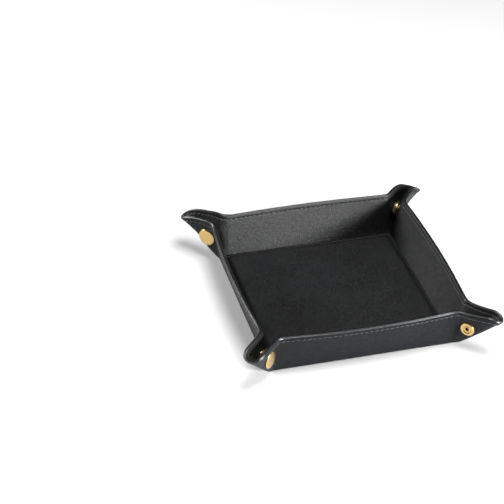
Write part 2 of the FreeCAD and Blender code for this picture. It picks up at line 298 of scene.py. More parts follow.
def layer_offsets(layer, s, w, ph=99.0):
    """Offsets from the mid surface of a layer's two faces: face first, inner
    face second.  s is the distance to the rim, w the height above the crease,
    ph the distance along the seam to the nearest needle hole."""
    def turn(t):
        return np.power(np.maximum(1.0 - np.power(np.clip(1.0 - t, 0, 1), 2.2), 0.0), 1 / 2.2)

    tip = 0.30
    face = tip + (T1 - tip) * turn(s / 0.95)
    inner = tip * (1.0 - turn(s / 0.28))
    seam = np.exp(-((s - SEAM) / 0.42) ** 2)
    sunk = 0.17 * seam + 0.30 * seam * np.exp(-(ph / 0.5) ** 2)
    face = face - sunk + 0.11 * np.exp(-((s - 1.6) / 0.75) ** 2)
    if layer == "core":
        return np.full_like(face, 0.45), np.full_like(face, -0.45)
    if layer == "cover":
        return -face, -inner
    up = lift(w)
    return face + up, inner + up


S_ROWS = [5.6, 4.9, 4.3, 3.9, 3.65, 3.4, 3.2, 3.0, 2.8, 2.6, 2.35, 2.05, 1.7, 1.35, 1.05, 0.8, 0.6,
          0.42, 0.27, 0.15, 0.06, 0.0]


def patch_mesh(name, sample, ni, nj, layer, rim, hole=None, mats=(), close=True):
    """A closed piece of one layer.  sample(i, j) gives, for index arrays that
    may run one step past the patch, the mid surface, normal, rim distance s,
    crease height w and flat coordinates.  hole(u-index grid) marks cells cut
    out."""
    ii, jj = np.meshgrid(np.arange(-1, ni + 1), np.arange(-1, nj + 1), indexing="ij")
    got = sample(ii.astype(float), jj.astype(float))
    p, n, s, w, fu, fv = got[:6]
    a, b = layer_offsets(layer, np.maximum(s, 0.0), w, got[6] if len(got) > 6 else 99.0)
    faces_pts, faces_nrm = [], []
    for side, off in ((1, a), (-1, b)):
        x = p + n * off[..., None]
        di = x[2:, 1:-1] - x[:-2, 1:-1]
        dj = x[1:-1, 2:] - x[1:-1, :-2]
        if rim:                      # no ghost row beyond the rim
            dj[:, -1] = (x[1:-1, -2] - x[1:-1, -3])
        m = np.cross(di, dj)
        m /= np.maximum(np.linalg.norm(m, axis=-1, keepdims=True), 1e-12)
        outward = (-1 if layer == "cover" else 1) * side
        ref = n[1:-1, 1:-1] * outward
        m = np.where((np.sum(m * ref, -1) < 0)[..., None], -m, m)
        faces_pts.append(x[1:-1, 1:-1])
        faces_nrm.append(m)
    if rim:                          # at the bead's tip the normal points off the rim
        tip = (faces_pts[0][:, -1] - p[1:-1, -5])
        tip /= np.maximum(np.linalg.norm(tip, axis=-1, keepdims=True), 1e-9)
        faces_nrm[0][:, -1] = tip
        faces_nrm[1][:, -1] = tip
    uv = np.stack([fu, fv], -1)[1:-1, 1:-1]
    ss = s[1:-1, 1:-1]
    outward = -1 if layer == "cover" else 1
    f0 = faces_pts[0]
    turn = np.cross(f0[1:, :-1] - f0[:-1, :-1], f0[:-1, 1:] - f0[:-1, :-1])
    flip = np.sum(turn * n[1:-2, 1:-2]) * outward < 0
    idx = np.arange(ni * nj).reshape(ni, nj)
    top, bot = idx, idx + ni * nj
    if rim:
        bot = bot.copy()
        bot[:, -1] = top[:, -1]
    keep = np.ones((ni - 1, nj - 1), bool)
    if hole is not None:
        keep = ~hole(0.25 * (uv[1:, 1:] + uv[:-1, 1:] + uv[1:, :-1] + uv[:-1, :-1]))
    verts = np.concatenate([faces_pts[0].reshape(-1, 3), faces_pts[1].reshape(-1, 3)])
    quads, norms, mat, quv = [], [], [], []

    def add(q, nn, m, t):
        quads.append(q)
        norms.append(nn)
        mat.append(np.full(len(q), m))
        quv.append(t)

    ci, cj = np.nonzero(keep)
    n0, n1 = faces_nrm[0].reshape(-1, 3), faces_nrm[1].reshape(-1, 3)
    uvf = uv.reshape(-1, 2)
    edge = ss[ci, cj] < 0.5 + 1e-6
    edge = np.asarray(edge) if rim else np.zeros(len(ci), bool)
    for face, (g, nn) in enumerate(((top, n0), (bot, n1))):
        c = np.stack([g[ci, cj], g[ci + 1, cj], g[ci + 1, cj + 1], g[ci, cj + 1]], -1)
        base = np.stack([idx[ci, cj], idx[ci + 1, cj], idx[ci + 1, cj + 1], idx[ci, cj + 1]], -1)
        if flip != (face == 1):
            c, base = c[:, ::-1], base[:, ::-1]
        for flag in (False, True):
            sel = edge == flag
            if sel.any():
                add(c[sel], nn[base[sel]], 1 if flag else 0, uvf[base[sel]])
    # side walls: every edge with cells on one side only
    pad = np.zeros((ni + 1, nj + 1), bool)
    pad[1:-1, 1:-1] = keep
    sides = []
    for i in range(ni):                       # edges along j at column i
        a_, b_ = pad[i, 1:-1], pad[i + 1, 1:-1]
        for j in np.nonzero(a_ != b_)[0]:
            sides.append((i, j, i, j + 1, bool(b_[j])))
    for j in range(nj):
        if rim and j == nj - 1:
            continue
        a_, b_ = pad[1:-1, j], pad[1:-1, j + 1]
        for i in np.nonzero(a_ != b_)[0]:
            sides.append((i + 1, j, i, j, bool(b_[i])))
    if sides:
        q, nn, t = [], [], []
        for i0, j0, i1, j1, inner in sides:
            v = [top[i0, j0], top[i1, j1], bot[i1, j1], bot[i0, j0]]
            if flip:
                v = v[::-1]
            if not inner:
                v = v[::-1]
            if rim and (bot[i1, j1] == top[i1, j1] or bot[i0, j0] == top[i0, j0]):
                v = list(dict.fromkeys(v))
            q.append(v)
        tri = [v for v in q if len(v) == 3]
        qua = [v for v in q if len(v) == 4]
    else:
        tri, qua = [], []
    me = bpy.data.meshes.new(name)
    face_list = [list(map(int, f)) for block in quads for f in block]
    n_main = len(face_list)
    face_list += [list(map(int, f)) for f in qua + tri]
    me.from_pydata([tuple(v) for v in verts / 1000.0], [], face_list)
    loop_n = [tuple(x) for block in norms for f in block for x in f]
    loop_uv = [tuple(x) for block in quv for f in block for x in f]
    for f in qua + tri:
        v = [verts[x] for x in f]
        g = np.cross(v[1] - v[0], v[2] - v[0])
        g = g / max(np.linalg.norm(g), 1e-12)
        loop_n += [tuple(g)] * len(f)
        loop_uv += [tuple(uvf[x % (ni * nj)]) for x in f]
    me.polygons.foreach_set("use_smooth", [True] * len(face_list))
    mi = [int(x) for block in mat for x in block] + [0] * (len(face_list) - n_main)
    me.polygons.foreach_set("material_index", mi)
    layer_uv = me.uv_layers.new(name="flat")
    layer_uv.data.foreach_set("uv", [c for t in loop_uv for c in t])
    me.normals_split_custom_set(loop_n)
    # points used by no face are dropped
    used = {v for f in face_list for v in f}
    ob = bpy.data.objects.new(name, me)
    bpy.context.scene.collection.objects.link(ob)
    if len(used) < len(verts):
        import bmesh
        bm = bmesh.new()
        bm.from_mesh(me)
        loose = [v for v in bm.verts if not v.link_faces]
        bmesh.ops.delete(bm, geom=loose, context="VERTS")
        bm.to_mesh(me)
        bm.free()
    for m in mats:
        me.materials.append(m)
    return ob


# ---------------------------------------------------------------- materials
def nodes_of(name):
    m = bpy.data.materials.new(name)
    m.use_nodes = True
    nt = m.node_tree
    bsdf = next(n for n in nt.nodes if n.type == "BSDF_PRINCIPLED")
    return m, nt, bsdf


def leather(name, colour, rough, grain=1.0, spec=0.5):
    """Fine pebbled black leather, its pattern laid in the flat sheet."""
    m, nt, b = nodes_of(name)
    N, L = nt.nodes, nt.links
    uv = N.new("ShaderNodeUVMap")
    uv.uv_map = "flat"

    def mapping(scale):
        mp = N.new("ShaderNodeMapping")
        mp.inputs["Scale"].default_value = (scale, scale, scale)
        L.new(uv.outputs["UV"], mp.inputs["Vector"])
        return mp.outputs["Vector"]

    warp = N.new("ShaderNodeTexNoise")
    warp.inputs["Scale"].default_value = 60.0
    warp.inputs["Detail"].default_value = 3.0
    L.new(mapping(1.0), warp.inputs["Vector"])
    addv = N.new("ShaderNodeMixRGB")
    addv.blend_type = "ADD"
    addv.inputs["Fac"].default_value = 0.006
    L.new(mapping(1.0), addv.inputs["Color1"])
    L.new(warp.outputs["Color"], addv.inputs["Color2"])
    cells = N.new("ShaderNodeTexVoronoi")
    cells.feature = "DISTANCE_TO_EDGE"
    cells.inputs["Scale"].default_value = 118.0
    cells.inputs["Randomness"].default_value = 1.0
    L.new(addv.outputs["Color"], cells.inputs["Vector"])
    ramp = N.new("ShaderNodeMapRange")
    ramp.inputs["From Min"].default_value = 0.0
    ramp.inputs["From Max"].default_value = 0.22
    ramp.interpolation_type = "SMOOTHSTEP"
    L.new(cells.outputs["Distance"], ramp.inputs["Value"])
    big = N.new("ShaderNodeTexNoise")
    big.inputs["Scale"].default_value = 4.5
    big.inputs["Detail"].default_value = 6.0
    big.inputs["Roughness"].default_value = 0.62
    L.new(mapping(1.0), big.inputs["Vector"])
    mid = N.new("ShaderNodeTexNoise")
    mid.inputs["Scale"].default_value = 34.0
    mid.inputs["Detail"].default_value = 5.0
    mid.inputs["Roughness"].default_value = 0.6
    L.new(mapping(1.0), mid.inputs["Vector"])
    fine = N.new("ShaderNodeTexNoise")
    fine.inputs["Scale"].default_value = 420.0
    fine.inputs["Detail"].default_value = 3.0
    L.new(mapping(1.0), fine.inputs["Vector"])
    # colour: pores darker, broad patches a little lighter where handled
    cr = N.new("ShaderNodeValToRGB")
    cr.color_ramp.elements[0].position = 0.30
    cr.color_ramp.elements[1].position = 0.72
    cr.color_ramp.elements[0].color = (*[c * 0.80 for c in colour], 1)
    cr.color_ramp.elements[1].color = (*[c * 1.28 for c in colour], 1)
    L.new(big.outputs["Fac"], cr.inputs["Fac"])
    pore = N.new("ShaderNodeMixRGB")
    pore.blend_type = "MULTIPLY"
    pore.inputs["Fac"].default_value = 0.55
    L.new(cr.outputs["Color"], pore.inputs["Color1"])
    pr = N.new("ShaderNodeValToRGB")
    pr.color_ramp.elements[0].color = (0.45, 0.45, 0.45, 1)
    pr.color_ramp.elements[1].color = (1, 1, 1, 1)
    L.new(ramp.outputs["Result"], pr.inputs["Fac"])
    L.new(pr.outputs["Color"], pore.inputs["Color2"])
    L.new(pore.outputs["Color"], b.inputs["Base Color"])
    # roughness: tops of the grain polished, pores and patches duller
    r1 = N.new("ShaderNodeMapRange")
    r1.inputs["To Min"].default_value = rough + 0.16
    r1.inputs["To Max"].default_value = rough - 0.02
    L.new(ramp.outputs["Result"], r1.inputs["Value"])
    r2 = N.new("ShaderNodeMapRange")
    r2.inputs["From Min"].default_value = 0.3
    r2.inputs["From Max"].default_value = 0.7
    r2.inputs["To Min"].default_value = -0.08
    r2.inputs["To Max"].default_value = 0.08
    L.new(mid.outputs["Fac"], r2.inputs["Value"])
    ad = N.new("ShaderNodeMath")
    ad.operation = "ADD"
    L.new(r1.outputs["Result"], ad.inputs[0])
    L.new(r2.outputs["Result"], ad.inputs[1])
    r3 = N.new("ShaderNodeMapRange")
    r3.inputs["From Min"].default_value = 0.3
    r3.inputs["From Max"].default_value = 0.7
    r3.inputs["To Min"].default_value = -0.05
    r3.inputs["To Max"].default_value = 0.05
    L.new(big.outputs["Fac"], r3.inputs["Value"])
    ad2 = N.new("ShaderNodeMath")
    ad2.operation = "ADD"
    L.new(ad.outputs[0], ad2.inputs[0])
    L.new(r3.outputs["Result"], ad2.inputs[1])
    L.new(ad2.outputs[0], b.inputs["Roughness"])
    # bump in two scales
    b1 = N.new("ShaderNodeBump")
    b1.inputs["Strength"].default_value = 0.42 * grain
    b1.inputs["Distance"].default_value = 0.00011
    L.new(ramp.outputs["Result"], b1.inputs["Height"])
    b2 = N.new("ShaderNodeBump")
    b2.inputs["Strength"].default_value = 0.45 * grain
    b2.inputs["Distance"].default_value = 0.00030
    L.new(mid.outputs["Fac"], b2.inputs["Height"])
    L.new(b1.outputs["Normal"], b2.inputs["Normal"])
    b3 = N.new("ShaderNodeBump")
    b3.inputs["Strength"].default_value = 0.35 * grain
    b3.inputs["Distance"].default_value = 0.00003
    L.new(fine.outputs["Fac"], b3.inputs["Height"])
    L.new(b2.outputs["Normal"], b3.inputs["Normal"])
    L.new(b3.outputs["Normal"], b.inputs["Normal"])
    b.inputs["Specular IOR Level"].default_value = spec
    return m


def solid_noise(name, colour, rough, scale, bump, dist, metallic=0.0, vary=0.15, rvary=0.08,
                spec=0.5, stretch=(1, 1, 1), coat=0.0):
    """A material whose detail is laid in the object's own space."""
    m, nt, b = nodes_of(name)
    N, L = nt.nodes, nt.links
    tc = N.new("ShaderNodeTexCoord")
    mp = N.new("ShaderNodeMapping")
    mp.inputs["Scale"].default_value = stretch
    L.new(tc.outputs["Object"], mp.inputs["Vector"])
    n1 = N.new("ShaderNodeTexNoise")
    n1.inputs["Scale"].default_value = scale
    n1.inputs["Detail"].default_value = 5.0
    n1.inputs["Roughness"].default_value = 0.6
    L.new(mp.outputs["Vector"], n1.inputs["Vector"])
    cr = N.new("ShaderNodeValToRGB")
    cr.color_ramp.elements[0].position = 0.3
    cr.color_ramp.elements[1].position = 0.7
    cr.color_ramp.elements[0].color = (*[c * (1 - vary) for c in colour], 1)
    cr.color_ramp.elements[1].color = (*[min(1, c * (1 + vary)) for c in colour], 1)
    L.new(n1.outputs["Fac"], cr.inputs["Fac"])
    L.new(cr.outputs["Color"], b.inputs["Base Color"])
    rr = N.new("ShaderNodeMapRange")
    rr.inputs["From Min"].default_value = 0.3
    rr.inputs["From Max"].default_value = 0.7
    rr.inputs["To Min"].default_value = rough - rvary
    rr.inputs["To Max"].default_value = rough + rvary
    L.new(n1.outputs["Fac"], rr.inputs["Value"])
    L.new(rr.outputs["Result"], b.inputs["Roughness"])
    bu = N.new("ShaderNodeBump")
    bu.inputs["Strength"].default_value = bump
    bu.inputs["Distance"].default_value = dist
    L.new(n1.outputs["Fac"], bu.inputs["Height"])
    L.new(bu.outputs["Normal"], b.inputs["Normal"])
    b.inputs["Metallic"].default_value = metallic
    b.inputs["Specular IOR Level"].default_value = spec
    if coat:
        b.inputs["Coat Weight"].default_value = coat
        b.inputs["Coat Roughness"].default_value = 0.12
    return m


mat_cover = leather("leather_cover", (0.0026, 0.0038, 0.0056), 0.46, 1.45, spec=0.200)
mat_lining = leather("leather_lining", (0.0032, 0.0038, 0.0046), 0.43, 1.45, spec=0.64)
# the lining of the folded corners is a darker, less glossy copy: painted shade for the shade that falls
# inside the ears
mat_lining_fold_shade = leather("leather_lining_fold_painted_shade", (0.0028, 0.0033, 0.0040), 0.44, 1.6, spec=0.42)
mat_edge = solid_noise("edge_paint", (0.006, 0.0066, 0.0076), 0.31, 500.0, 0.08, 0.00005, vary=0.2, rvary=0.03, spec=0.85)
mat_thread = solid_noise("seam_thread", (0.044, 0.047, 0.052), 0.36, 2600.0, 0.6, 0.00010, vary=0.3)
mat_brass = solid_noise("snap_plating", (0.60, 0.42, 0.18), 0.24, 700.0, 0.10, 0.00003, metallic=1.0,
                        vary=0.05, rvary=0.05)
mat_brass_in = solid_noise("snap_plating_inner", (0.80, 0.66, 0.40), 0.27, 500.0, 0.15, 0.00003,
                           metallic=1.0, vary=0.08, rvary=0.06)
mat_spring = solid_noise("spring_wire", (0.62, 0.62, 0.64), 0.25, 900.0, 0.1, 0.00002, metallic=1.0,
                         vary=0.06)
mat_board = solid_noise("fibre_board", (0.42, 0.37, 0.31), 0.8, 300.0, 0.3, 0.0002, vary=0.2)
mat_foam = solid_noise("foam_pad", (0.25, 0.25, 0.26), 0.9, 900.0, 0.5, 0.0003, vary=0.25)
LEATHER = {"cover": mat_cover, "lining": mat_lining}
# the ear pieces take the lining copy with painted shade
EAR_LEATHER = {"cover": mat_cover, "lining": mat_lining_fold_shade}


def u_b0(w):
    """Boundary of wall and bend piece, on the wall's post side."""
    return -6.9 + 0.8 * np.clip(w, 0, 32) / 32.0


# ------------------------------------------------------------- base panels
def make_base(layer):
    half = A - 6.0
    n = 62
    c = np.linspace(-half, half, n)
    d = c[1] - c[0]

    def sample(i, j):
        x, y = -half + i * d, -half + j * d
        r = np.maximum(np.abs(x), np.abs(y))
        w = r - A
        # the board ends in a rounded corner; the pad gives a slight crown
        inx = sstep((A - 2.6 - np.abs(x)) / 3.9)
        iny = sstep((A - 2.6 - np.abs(y)) / 3.9)
        crown = 0.35 * np.clip(1 - (x / half) ** 2, 0, 1) * np.clip(1 - (y / half) ** 2, 0, 1)
        up = 2.4 * inx * iny + crown - lift(w)
        up = up if layer == "lining" else np.zeros_like(x)
        p = np.stack([x, y, np.full_like(x, T / 2) + up], -1)
        nrm = np.zeros_like(p)
        nrm[..., 2] = 1
        return p, nrm, np.full_like(x, 50.0), w, x / 100.0, y / 100.0

    ob = patch_mesh("%s_base_panel" % layer, sample, n, n, layer, False,
                    mats=(LEATHER[layer], mat_edge))
    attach(ob, "base")
    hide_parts("cover_base" if layer == "cover" else "lining_base")


def make_crease(layer, k):
    """Strip along one crease, mitred to its neighbours on the base diagonals."""
    rows = np.concatenate([np.linspace(-6.0, -3.2, 6), np.linspace(-2.7, 1.0, 10)])
    rows_x = np.concatenate([[2 * rows[0] - rows[1]], rows, [2 * rows[-1] - rows[-2]]])
    ni = 130

    def sample(i, j):
        w = rows_x[(j + 1).astype(int)]
        half = A + w
        t = (i / (ni - 1)) * 2 - 1
        x = t * half
        p, nrm = wall_point(k, x, w)
        inx = sstep((A - 2.6 - np.abs(x)) / 3.9)
        if layer == "lining":           # the raised panel ends short of the corner
            p = p + np.array([0, 0, 1.0]) * (lift(w) * (inx - 1))[..., None]
        fu, fv = flat_uv(k, x, A + w)
        return p, nrm, np.full_like(x, 50.0), w, fu, fv

    ob = patch_mesh("%s_crease_%s" % (layer, WALLS[k]), sample, ni, len(rows), layer, False,
                    mats=(LEATHER[layer], mat_edge))
    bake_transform(ob)
    return ob


B_ROWS = np.concatenate([np.linspace(0, 0.18, 9)[:-1], np.linspace(0.18, 1, 22)[:-1]])
ROWS_W = np.concatenate([1.0 + (H - 5.6 - 1.0) * B_ROWS, H - np.array(S_ROWS)])


PITCH = 3.4


def wall_seam():
    """The wall's seam: ends, number of stitches and the rest at each end."""
    w = H - SEAM
    x0, x1 = -A - float(u_b0(w)), A + float(u_kink(np.array(w)))
    count = int((x1 - x0) / PITCH)
    return x0, x1, count, ((x1 - x0) - count * PITCH) / 2


def make_wall(layer, k):
    rows = ROWS_W
    rows_x = np.concatenate([[2 * rows[0] - rows[1]], rows, [rows[-1]]])
    ni = 190
    s0, s1, count, pad = wall_seam()

    def sample(i, j):
        w = rows_x[(j + 1).astype(int)]
        x0 = -A - u_b0(w)               # post end
        x1 = A + u_kink(w)              # cap end, at mid bend
        t = i / (ni - 1)
        x = x0 + (x1 - x0) * t
        p, nrm = wall_point(k, x, w)
        fu, fv = flat_uv(k, x, A + w)
        m = (x - s0 - pad) / PITCH
        ph = np.where((m > -0.3) & (m < count + 0.3), (m - np.round(m)) * PITCH, 99.0)
        return p, nrm, H - w, w, fu, fv, ph

    ob = patch_mesh("%s_wall_%s" % (layer, WALLS[k]), sample, ni, len(rows), layer, True,
                    mats=(LEATHER[layer], mat_edge))
    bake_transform(ob)
    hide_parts("%s_%s_wall" % (layer, WALLS[k]))
    return ob


# rim of the flat corner as a path: u, w and inward normal at length q, from
# q = 0 at u = 0 on the wall side
ARC_Q = H - R
RIM_END = ARC_Q + R * math.pi / 4


def rim_at(q):
    a = np.clip((q - ARC_Q) / R, 0.0, math.pi / 2)
    u = np.where(q < ARC_Q, q, ARC_Q + R * np.sin(a))
    w = np.where(q < ARC_Q, H, ARC_Q + R * np.cos(a))
    return u, w, -np.sin(a), -np.cos(a)


Q_KINK = float(u_kink(np.array(32.0)))


def ray_points(a, s_or_b, is_rim):
    """Flat point of the post-side ear half.  a: -1 at the wall boundary, 0 at
    the kink, 1 at the diagonal.  Rim rows are given by distance s, the others
    by a share b of the way from the bottom edge to the first rim row."""
    n = np.clip(-a, 0, 1.2)             # share on the wall side of the kink
    m = np.clip(a, 0, 1.2)
    q = Q_KINK + (RIM_END - Q_KINK) * m + (u_b0(32.0) - Q_KINK) * n
    ru, rw, nu, nw = rim_at(q)
    s = np.where(is_rim, s_or_b, S_ROWS[0])
    tu, tw = ru + nu * s, rw + nw * s
    b = np.where(is_rim, 1.0, s_or_b)
    k1 = float(u_kink(np.array(1.0)))
    bu = k1 + (1.0 - k1) * m + (u_b0(1.0) - k1) * n
    u, w = bu + (tu - bu) * b, 1.0 + (tw - 1.0) * b
    # follow the wall boundary and the kink, which are not straight rays
    dk = u_kink(w) - (k1 + (Q_KINK - k1) * b)
    db = u_b0(w) - (u_b0(1.0) + (u_b0(32.0) - u_b0(1.0)) * b)
    return u + np.where(a < 0, db * n + dk * (1 - n), dk * (1 - m)), w, s


A_SPLIT = 0.55

# length along the corner's seam, which is shorter than the rim round the arc
SEAM_Q = np.linspace(float(u_b0(32.0)), RIM_END, 400)
_ru, _rw, _nu, _nw = rim_at(SEAM_Q)
_su, _sw = _ru + _nu * SEAM, _rw + _nw * SEAM
SEAM_LEN = np.concatenate([[0], np.cumsum(np.hypot(np.diff(_su), np.diff(_sw)))])
EAR_STITCHES = int(round(SEAM_LEN[-1] / PITCH))
EAR_STEP = SEAM_LEN[-1] / EAR_STITCHES


def make_ear(layer, k, part):
    c = CORNERS[k]
    cap = part in ("nose_cap", "cap")
    if part == "post":
        cols = np.concatenate([np.linspace(-1.0, 0.0, 15)[:-1], np.linspace(0.0, A_SPLIT, 28)])
    elif part == "cap":
        cols = np.linspace(0.0, A_SPLIT, 28)
    else:
        cols = np.linspace(A_SPLIT, 1.0, 30)
    ni = len(cols)
    cols_x = np.concatenate([[2 * cols[0] - cols[1]], cols, [2 * cols[-1] - cols[-2]]])
    nb, ns = len(B_ROWS), len(S_ROWS)
    nj = nb + ns

    def sample(i, j):
        jj = (j).astype(int)
        rim = jj >= nb
        val = np.where(rim, np.array(S_ROWS)[np.clip(jj - nb, 0, ns - 1)],
                       B_ROWS[np.clip(jj, 0, nb - 1)] + np.where(jj < 0, B_ROWS[0] - B_ROWS[1], 0))
        u, w, s = ray_points(cols_x[(i + 1).astype(int)], val, rim)
        s = np.where(rim, s, 50.0)
        fu, fv = (w, u) if cap else (u, w)
        p, nrm = corner_point(k, fu, fv)
        a_, b_ = flat_uv(k, -A - fu, A + fv)
        col = cols_x[(i + 1).astype(int)]
        n_, m_ = np.clip(-col, 0, 1), np.clip(col, 0, 1)
        rq = Q_KINK + (RIM_END - Q_KINK) * m_ + (SEAM_Q[0] - Q_KINK) * n_
        m = np.interp(rq, SEAM_Q, SEAM_LEN) / EAR_STEP
        ph = np.where(rim, (m - np.round(m)) * EAR_STEP, 99.0)
        return p, nrm, s, np.full_like(s, 10.0), a_, b_, ph

    q = quarter(k)[:2, :2]
    centre = (-A - (SV if cap else SU), A + (SU if cap else SV))
    centre = q @ np.array(centre) / 100.0

    def hole(uv):
        return np.hypot(uv[..., 0] - centre[0], uv[..., 1] - centre[1]) < 0.0165

    ob = patch_mesh("%s_ear_%s_%s" % (layer, part, c), sample, ni, nj, layer, True,
                    hole=hole, mats=(EAR_LEATHER[layer], mat_edge))
    body = {"p": "ear_post_" + c, "t": "ear_tip_" + c, "c": "ear_cap_" + c}
    if part == "post":
        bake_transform(ob)
        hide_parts("%s_ear_post_%s" % (layer, c))
    elif part == "nose_post":
        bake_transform(ob)
        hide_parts("%s_ear_tip_%s" % (layer, c))
    elif part == "nose_cap":
        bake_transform(ob)
    else:
        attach(ob, body["c"])
        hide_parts("%s_ear_cap_%s" % (layer, c))
    return ob


def make_core(k):
    """A strip between the two leathers across the cap-side bend.  It goes with
    the wall and keeps the bend closed when the ear swings open."""
    cols = np.linspace(-2.2, 3.0, 12)
    rows = np.linspace(1.6, H - 1.3, 34)
    ni, nj = len(cols), len(rows)

    def sample(i, j):
        w = 1.6 + (rows[1] - rows[0]) * j
        u = u_kink(w) + cols[0] + (cols[1] - cols[0]) * i
        p, nrm = corner_point(k, w, u)
        a_, b_ = flat_uv(k, -A - w, A + u)
        return p, nrm, np.full_like(w, 50.0), np.full_like(w, 10.0), a_, b_

    # the strip takes the lining copy with painted shade
    ob = patch_mesh("bend_core_%s" % CORNERS[k], sample, ni, nj, "core", False,
                    mats=(mat_lining_fold_shade, mat_lining_fold_shade))
    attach(ob, WALLS[(k + 1) % 4] + "_wall")


def make_fold_core(k):
    """A narrow strip between the leathers along the foot of the fold.  It goes
    with the tip."""
    taus, es = np.linspace(2.6, 19.0, 26), np.linspace(-3.6, 3.6, 21)
    ni, nj = len(taus), len(es)

    def sample(i, j):
        tau = taus[0] + (taus[1] - taus[0]) * i
        e = (es[0] + (es[1] - es[0]) * j) * (0.45 + 0.55 * np.clip(tau / 19.0, 0, 1))
        u, w = (tau - e) * Q, (tau + e) * Q
        p, nrm = corner_point(k, u, w)
        a_, b_ = flat_uv(k, -A - u, A + w)
        return p, nrm, np.full_like(w, 50.0), np.full_like(w, 10.0), a_, b_

    # the strip takes the lining copy with painted shade
    ob = patch_mesh("fold_core_%s" % CORNERS[k], sample, ni, nj, "core", False,
                    mats=(mat_lining_fold_shade, mat_lining_fold_shade))
    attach(ob, "ear_tip_" + CORNERS[k])


for k in range(4):
    make_core(k)
    make_fold_core(k)
for layer in ("cover", "lining"):
    make_base(layer)
    for k in range(4):
        make_crease(layer, k)
        make_wall(layer, k)
        for part in ("post", "nose_post", "nose_cap", "cap"):
            make_ear(layer, k, part)


# ---------------------------------------------------------------- stitches
def capsule(length, radius):
    """A stitch along x, sunk at both ends: points and quads."""
    m, seg = 9, 8
    pts, quads = [], []
    for i in range(m):
        t = i / (m - 1) * 2 - 1
        x = t * length / 2
        env = (1 - abs(t) ** 3.0) ** 0.5 if abs(t) < 1 else 0.0
        r = radius * max(env, 0.35)
        z = 0.16 * (1 - t * t) - 0.10
        for s in range(seg):
            f = 2 * math.pi * s / seg
            tw = 1 + 0.10 * math.sin(3 * f + 9 * t)
            pts.append((x, r * tw * math.cos(f), z + r * tw * 0.8 * math.sin(f)))
    for i in range(m - 1):
        for s in range(seg):
            a, b = i * seg + s, i * seg + (s + 1) % seg
            quads.append((a, b, b + seg, a + seg))
    quads.append(tuple(range(seg))[::-1])
    quads.append(tuple((m - 1) * seg + s for s in range(seg)))
    return np.array(pts), quads


CAP_PTS, CAP_QUADS = capsule(2.9, 0.36)


def stitch_set(name, place, qs, faces=("cover", "lining")):
    """place(q) gives mid surface point, normal and the seam's direction."""
    verts, quads = [], []
    for q in qs:
        for f in faces:
            p, n, d = place(q)
            off = T1 if f == "lining" else -T1
            up = n if f == "lining" else -n
            side = np.cross(up, d)
            base = p + n * off * 1.0 - up * 0.02
            v = base + CAP_PTS[:, :1] * d + CAP_PTS[:, 1:2] * side + CAP_PTS[:, 2:] * up
            o = len(verts) and sum(len(x) for x in verts)
            verts.append(v)
            quads += [tuple(int(o + i) for i in g) for g in CAP_QUADS]
    me = bpy.data.meshes.new(name)
    me.from_pydata([tuple(x) for x in np.concatenate(verts) / 1000.0], [], quads)
    me.polygons.foreach_set("use_smooth", [True] * len(quads))
    me.materials.append(mat_thread)
    ob = bpy.data.objects.new(name, me)
    bpy.context.scene.collection.objects.link(ob)
    return ob


def seam_wall(k):
    w = H - SEAM
    x0, x1, count, pad = wall_seam()

    def place(x):
        xs = np.array([x - 0.4, x, x + 0.4])
        p, n = wall_point(k, xs, np.full(3, w))
        d = p[2] - p[0]
        return p[1], n[1], d / np.linalg.norm(d)

    qs = [x0 + pad + PITCH * (i + 0.5) for i in range(count)]
    ob = stitch_set("stitches_wall_%s" % WALLS[k], place, qs)
    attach(ob, WALLS[k] + "_wall")
    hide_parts("seam_thread_%s" % WALLS[k])


def seam_ear(k, part):
    c = CORNERS[k]
    cap = part in ("nose_cap", "cap")
    q0 = u_b0(32.0)
    split = Q_KINK + (RIM_END - Q_KINK) * A_SPLIT
    start = {"post": q0, "cap": Q_KINK}.get(part, split)
    end = split if part in ("post", "cap") else RIM_END
    mids = [(i + 0.5) * EAR_STEP for i in range(EAR_STITCHES)]
    use = [m for m in mids if start - 0.2 <= np.interp(m, SEAM_LEN, SEAM_Q) < end - 0.2]

    def place(m):
        g = np.interp([m - 0.4, m, m + 0.4], SEAM_LEN, SEAM_Q)
        a, b, nu, nw = rim_at(g)
        u, w = a + nu * SEAM, b + nw * SEAM
        if cap:
            u, w = w, u
        p, n = corner_point(k, u, w)
        d = p[2] - p[0]
        return p[1], n[1], d / np.linalg.norm(d)

    if not use:
        return
    ob = stitch_set("stitches_ear_%s_%s" % (part, c), place, use)
    if part == "post":
        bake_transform(ob)
    elif part == "nose_post":
        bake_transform(ob)
    elif part == "nose_cap":
        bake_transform(ob)
    else:
        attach(ob, "ear_cap_" + c)


for k in range(4):
    seam_wall(k)
    for part in ("post", "nose_post", "nose_cap", "cap"):
        seam_ear(k, part)


# ------------------------------------------------------------------- snaps
def chaikin(pts, closed, times=2, share=0.22):
    pts = [np.array(p, float) for p in pts]
    for _ in range(times):
        out = []
        n = len(pts)
        if not closed:
            out.append(pts[0])
        for i in range(n if closed else n - 1):
            a, b = pts[i], pts[(i + 1) % n]
            out += [a + (b - a) * share, a + (b - a) * (1 - share)]
        if not closed:
            out.append(pts[-1])
        pts = out
        share = 0.25
    return pts


